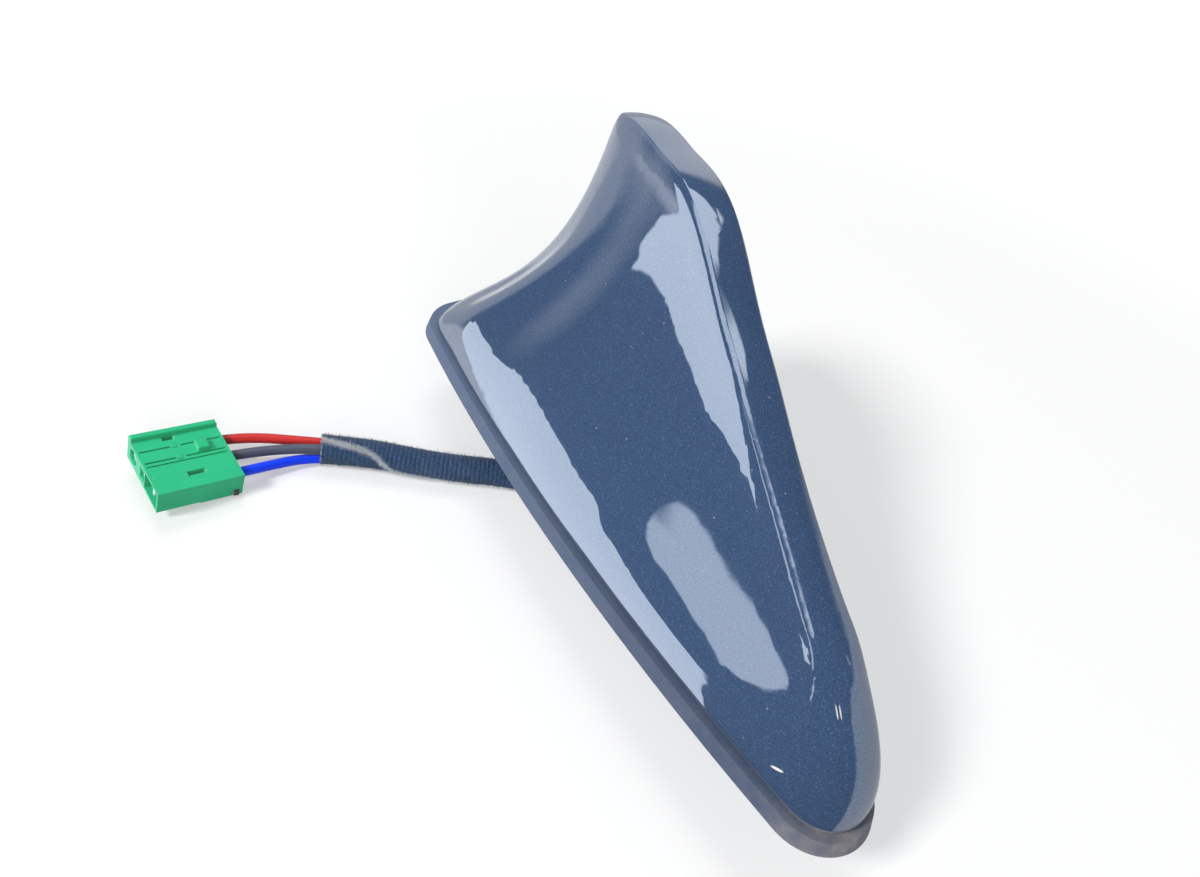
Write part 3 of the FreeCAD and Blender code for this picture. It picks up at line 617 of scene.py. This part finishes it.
def rubber(name, dark, light, dirt_share):
    skin = Finish(name)
    grain = skin.grain(1500.0, 4.0, 0.6)
    cloud = skin.grain(45.0, 4.0)
    base = skin.blend(skin.between(skin.along("X"), pale_tail, dark_nose) * 0.75 + cloud * 0.25, light, dark)
    at_nose = skin.between(skin.along("X"), dirt_start, dirt_full)
    film = skin.between(skin.grain(150.0, 5.0, 0.65), 0.40, 0.72)
    dirt = (at_nose * (film * 0.6 + 0.35) + film * 0.12) * dirt_share
    base = skin.blend(dirt, base, dried_dirt)
    base = skin.blend(skin.specks(420.0, size=0.07, share=0.22) * 0.4, base, pale_speck)
    rough = skin.between(grain, 0.3, 0.7, 0.56, 0.70)
    return skin.surface(Base_Color=base, Roughness=rough, Specular_IOR_Level=0.35,
                        Normal=skin.bump(grain, strength=0.25, distance=0.2 * MM))


gasket_skin = rubber("gasket_rubber", colour(0.066, 0.092, 0.150), colour(0.128, 0.172, 0.262), 1.0)
soft_skin = rubber("soft_black_rubber", colour(0.016, 0.016, 0.018), colour(0.026, 0.026, 0.028), 0.2)
dress(nodes["roof_gasket"], gasket_skin)
dress(nodes["cover_seal"], soft_skin)
dress(nodes["cable_grommet"], soft_skin)
print("rubber on gasket, seal and grommet")

# %% [markdown]
# ## Metal, board and ceramic
# These lie under the cover and are seen only from below or with the cover off. One function makes the
# metals, with a grain that is fine on plated steel and coarse on the casting, and one makes all that is moulded,
# pressed or fired. A table for each keeps the shades side by side.

# %% Metals
# Name, dark and light shade, scale of the grain, least and most roughness, and the pieces
METALS = (
    ("die_casting", colour(0.42, 0.43, 0.44), colour(0.55, 0.56, 0.57), 900.0, 0.42, 0.60, ("base_plate",)),
    ("zinc_plate", colour(0.50, 0.51, 0.50), colour(0.66, 0.66, 0.63), 2600.0, 0.24, 0.36,
     ("cover_screws", "mounting_bolt", "board_screws")),
    ("spring_steel", colour(0.10, 0.10, 0.11), colour(0.17, 0.17, 0.18), 1800.0, 0.38, 0.52, ("retaining_claw",)),
    ("tin_plate", colour(0.60, 0.60, 0.58), colour(0.74, 0.74, 0.71), 3000.0, 0.20, 0.32,
     ("shield_can", "patch_electrode", "patch_pin", "top_load_plate", "phone_element")),
    ("copper_winding", colour(0.55, 0.24, 0.10), colour(0.72, 0.36, 0.18), 3200.0, 0.26, 0.38, ("loading_coil",)),
)


def metal(name, dark, light, grain_scale, rough_low, rough_high):
    skin = Finish(name)
    grain = skin.grain(grain_scale, 5.0, 0.6)
    base = skin.blend(skin.grain(70.0, 3.0), dark, light)
    return skin.surface(Base_Color=base, Metallic=1.0,
                        Roughness=skin.between(grain, 0.3, 0.7, rough_low, rough_high),
                        Normal=skin.bump(grain, strength=0.15, distance=0.1 * MM))


for *metal_values, piece_names in METALS:
    metal_skin = metal(*metal_values)
    for piece_name in piece_names:
        dress(nodes[piece_name], metal_skin)
print("metals:", len(METALS))

# %% Plastics, laminate and ceramic
# Name, dark and light shade, least and most roughness, and the piece
MOULDINGS = (
    ("board_laminate", colour(0.015, 0.10, 0.035), colour(0.025, 0.15, 0.055), 0.28, 0.42, "main_board"),
    ("fired_ceramic", colour(0.58, 0.52, 0.42), colour(0.68, 0.63, 0.52), 0.40, 0.60, "navigation_patch"),
    ("black_moulding", colour(0.018, 0.018, 0.020), colour(0.028, 0.028, 0.031), 0.38, 0.52, "element_holder"),
    ("grey_moulding", colour(0.045, 0.050, 0.055), colour(0.070, 0.075, 0.082), 0.40, 0.54, "contact_retainer"),
    ("bright_tin", colour(0.78, 0.78, 0.76), colour(0.90, 0.90, 0.88), 0.25, 0.40, "connector_contacts"),
)
rubbed_pale = colour(0.62, 0.68, 0.66)


def plastic(name, dark, light, rough_low, rough_high, grain_scale=1600.0, grain_depth=0.12, scuff=0.0):
    skin = Finish(name)
    grain = skin.grain(grain_scale, 4.0, 0.6)
    base = skin.blend(skin.grain(140.0, 4.0), dark, light)
    rubbed = skin.between(skin.grain(420.0, 6.0, 0.7), 0.60, 0.72) * scuff
    base = skin.blend(rubbed, base, rubbed_pale)
    return skin.surface(Base_Color=base, Roughness=skin.between(grain, 0.3, 0.7, rough_low, rough_high),
                        Normal=skin.bump(grain, strength=grain_depth, distance=0.1 * MM))


for *moulding_values, piece_name in MOULDINGS:
    dress(nodes[piece_name], plastic(*moulding_values))
green_skin = plastic("green_moulding", colour(0.014, 0.49, 0.205), colour(0.024, 0.58, 0.265), 0.36, 0.50,
                     grain_scale=900.0, grain_depth=0.08, scuff=0.10)
dress(nodes["connector_housing"], green_skin)
print("mouldings:", len(MOULDINGS) + 1)

# %% [markdown]
# ## Cable jackets and fleece
# The jackets are smooth extruded plastic with small scuffs, so the function for mouldings serves them too. The
# fleece is navy, with painted shade between its ribs, and almost white where the cut edge has frayed. The numbers
# kept on the tube tell where, and the nap catches light at grazing angles as sheen.

# %% Jackets
JACKETS = {
    "red_lead": (colour(0.56, 0.024, 0.020), colour(0.66, 0.036, 0.030)),
    "grey_lead": (colour(0.066, 0.072, 0.108), colour(0.090, 0.098, 0.142)),
    "blue_lead": (colour(0.001, 0.040, 0.92), colour(0.003, 0.060, 1.0)),
}
jackets = {name: plastic(name.replace("lead", "jacket"), *shades, 0.34, 0.48,
                         grain_scale=2200.0, grain_depth=0.08, scuff=0.06)
           for name, shades in JACKETS.items()}
for lead_name, lead in leads.items():
    dress(lead, jackets[lead_name])
dress(nodes["inner_leads"], jackets["grey_lead"])
print("jackets:", len(jackets))

# %% Fleece
tuft_dark, tuft_light = colour(0.024, 0.048, 0.106), colour(0.066, 0.124, 0.232)
patch_pale, rib_shade = colour(0.105, 0.165, 0.260), colour(0.014, 0.028, 0.066)
frayed_pale = colour(0.55, 0.59, 0.63)


def fleece():
    cloth = Finish("navy_fleece")
    tuft = cloth.grain(2400.0, 4.0, 0.65)
    patch = cloth.grain(110.0, 4.0)
    base = cloth.blend(cloth.between(tuft, 0.34, 0.68), tuft_dark, tuft_light)
    base = cloth.blend(cloth.between(patch, 0.50, 0.75) * 0.3, base, patch_pale)
    # Painted shade: the fleece turns darker towards the bottom of each rib, where shade falls between them
    base = cloth.blend(cloth.between(cloth.kept("rib_height"), 0.55, 0.0) * 0.55, base, rib_shade)
    worn = cloth.kept("cut_edge") * cloth.between(tuft, 0.38, 0.60, 0.15, 1.0)
    base = cloth.blend(worn, base, frayed_pale)
    return cloth.surface(Base_Color=base, Roughness=cloth.between(tuft, 0.3, 0.7, 0.85, 0.97),
                         Specular_IOR_Level=0.15, Sheen_Weight=0.2, Sheen_Roughness=0.5,
                         Normal=cloth.bump(tuft, strength=0.6, distance=0.3 * MM))


def fibres(name, dark, light):
    thread = Finish(name)
    base = thread.blend(thread.grain(900.0, 2.0), dark, light)
    return thread.surface(Base_Color=base, Roughness=0.9, Specular_IOR_Level=0.2)


dress(sleeve, fleece())
dress(nap, fibres("navy_nap", colour(0.030, 0.056, 0.112), colour(0.090, 0.145, 0.240)))
dress(torn, fibres("torn_fleece", colour(0.52, 0.56, 0.60), colour(0.86, 0.88, 0.90)))
print("fleece on the sleeve, its nap and its torn edge")

# %% [markdown]
# ## Floor and light
# The part lies on a white sweep that the camera sees as plain white, with a soft shadow. Brighter lamps could
# whiten the floor, but they would bleach the part. So the floor's own white and a little glow for
# camera rays do it, and the lamps stay at a plain level.

# %% Floor
floor_size = 6.0
floor_white = colour(0.60, 0.60, 0.60)
floor_glow, far_glow = 0.385, 0.75
glow_start, glow_full = 0.22, 0.70
bpy.ops.object.select_all(action="DESELECT")
bpy.ops.mesh.primitive_plane_add(size=floor_size, location=(0, 0, floor_height))
floor = bpy.context.active_object
floor.name = "white_floor"
bpy.ops.object.transform_apply(location=True, rotation=True, scale=True)


def white_floor():
    """Matt white with a glow for the camera, and nothing at all for mirror images."""
    sweep = Finish("white_sweep")
    seen = sweep.node("ShaderNodeLightPath", {}, {}, "Is Camera Ray")
    mirrored = sweep.node("ShaderNodeLightPath", {}, {}, "Is Glossy Ray")
    white = sweep.node("ShaderNodeBsdfDiffuse", {}, {"Color": floor_white})
    away = sweep.node("ShaderNodeVectorMath", {"operation": "LENGTH"}, {"Vector": sweep.place}, "Value")
    level = seen * sweep.between(away, glow_start, glow_full, floor_glow, far_glow)
    glow = sweep.node("ShaderNodeEmission", {}, {"Color": colour(1, 1, 1), "Strength": level})
    lit = sweep.node("ShaderNodeAddShader", {}, {"Shader": white, "Shader_001": glow})
    clear = sweep.node("ShaderNodeBsdfTransparent", {}, {})
    sweep.show(sweep.node("ShaderNodeMixShader", {}, {"Fac": mirrored, "Shader": lit, "Shader_001": clear}))
    return sweep.material


dress(floor, white_floor())
print("floor glow", floor_glow)

# %% Lamps
# Name, place, side of the square and watts
LAMPS = (
    ("window_light", (0.36, -2.44, 2.10), 0.6, 78.0),
    ("ceiling_light", (-1.70, 0.10, 2.50), 1.2, 22.0),
    ("fill_light", (2.70, -0.70, 1.30), 1.2, 25.0),
)
lamp_aim = Vector((0.0, 0.0, 0.02))
for lamp_name, place, side, power in LAMPS:
    lamp_data = bpy.data.lights.new(lamp_name, "AREA")
    lamp_data.shape = "SQUARE"
    lamp_data.size = side
    lamp_data.energy = power
    lamp = bpy.data.objects.new(lamp_name, lamp_data)
    bpy.context.scene.collection.objects.link(lamp)
    lamp.location = place
    lamp.rotation_euler = (lamp_aim - Vector(place)).to_track_quat("-Z", "Y").to_euler()
    lamp.visible_glossy = False
print("lamps:", len(LAMPS))

# %% [markdown]
# ## The mirrored room
# Gloss needs something to mirror. Cards could stand round the part, but they would cast shadows. So the
# sky shows the room of the photograph to reflected rays only, in broad strokes: a white table top on
# one side and a dark room above it, with a window, a pale wall and a lamp. Each stroke is a zone of bearing and
# height in degrees, and each pair of numbers is where one edge of a zone starts and where it is full.

# %% Directions in the room


class Room(NodeMaker):
    """A sky that knows directions; bearing counts from the tail's side towards the right-hand side."""

    def __init__(self, tree):
        super().__init__(tree)
        way = self.node("ShaderNodeTexCoord", {}, {}, "Generated")
        self.x, y, self.z = (self.node("ShaderNodeSeparateXYZ", {}, {"Vector": way}, axis) for axis in "XYZ")
        degree = 180 / math.pi
        self.bearing = self.x.maths("ARCTAN2", y * -1.0, self.x * -1.0) * degree
        self.height = self.z.maths("ARCSINE", self.z, 0.0) * degree
        self.uneven = self.noise(way, 26.0, 3.0) * 2.0 - 1.0


# %% Bright zones


def table_top(room):
    """The white table; its far edge steps down towards the nose."""
    step_down = room.between(room.bearing, 69.2, 72.2) * 8.0 + (room.bearing - 74.0).atleast(0.0) * 0.5
    far_edge = room.between(room.height + step_down + room.uneven * 0.08, -4.8, -5.3)
    tail_side = room.bearing + room.between(room.height, -6.0, -7.8) * 2.6 + room.uneven * 0.4
    tail_edge = room.between(tail_side, 44.4, 45.3)
    nose_edge = room.between(room.bearing + room.uneven, 85.6, 84.8)
    near_edge = room.between(room.height - (room.bearing - 84.0) * 4.0, -31.0, -29.0)
    return far_edge * tail_edge * nose_edge * near_edge


def window(room):
    """The slanting patch near the nose."""
    sides = room.between(room.bearing + room.height * 0.73, 79.1, 79.45) * room.between(room.bearing, 90.0, 88.5)
    foot = room.between(room.height + room.uneven * 1.6, -8.8, -8.0)
    return sides * foot * room.between(room.height, 3.6, 2.9) * 0.76


def pale_wall(room):
    """A wall above the table, seen along the crest."""
    sides = room.between(room.bearing - room.height * 0.62, 79.0, 76.0) * room.between(room.bearing, 60.0, 66.0)
    return room.between(room.height, 7.0, 8.5) * sides * 0.85


def overhead_lamp(room):
    """A lamp overhead, by upward and sideways parts of the direction instead of degrees."""
    return room.between(room.z - room.x * 0.087, 0.845, 0.857) * room.between(room.x, 0.24, 0.17)


# %% Dim zones


def dim_sides(room):
    """The half-lit room behind the tail and beside the far flank, up to a dark ceiling."""
    behind = room.between(room.bearing, 44.0, 33.0) * 0.5
    low = room.between(room.bearing, 43.6, 41.5) * room.between(room.height, -13.0, -18.0) * 0.9
    high = room.between(room.height, -4.0, 14.0) * room.between(room.bearing, 20.0, -10.0) * 0.9
    behind = behind.atleast(low).atleast(high) * room.between(room.bearing, -58.0, -44.0)
    beside = room.between(room.bearing, -170.0, -164.0) * room.between(room.bearing, -60.0, -74.0) * 0.5
    return behind.atleast(beside) * room.between(room.height, 43.0, 33.0)


# %% Sky
room_dark, room_dim = colour(0.035, 0.040, 0.050), colour(0.98, 1.0, 1.02)
room_bright = colour(1.66, 1.84, 2.10)
soft_light, plain_white = colour(0.25, 0.26, 0.27), colour(1.0, 1.0, 1.0)


def room_sky():
    """White for the camera, soft light for matt surfaces, the room for reflections."""
    world = bpy.data.worlds.new("studio_sky")
    world.use_nodes = True
    room = Room(world.node_tree)
    bright = table_top(room).atleast(window(room)).atleast(pale_wall(room)).atleast(overhead_lamp(room))
    view = room.blend(dim_sides(room), room_dark, room_dim)
    view = room.blend(bright, view, room_bright)
    seen = room.node("ShaderNodeLightPath", {}, {}, "Is Camera Ray")
    mirrored = room.node("ShaderNodeLightPath", {}, {}, "Is Glossy Ray")
    soft = room.blend(seen, soft_light, plain_white)
    shown = room.node("ShaderNodeBackground", {}, {"Color": room.blend(mirrored, soft, view), "Strength": 1.0})
    room.node("ShaderNodeOutputWorld", {}, {"Surface": shown})
    return world


bpy.context.scene.world = room_sky()
bpy.context.scene.view_settings.view_transform = "Standard"
print("sky nodes:", len(bpy.context.scene.world.node_tree.nodes))
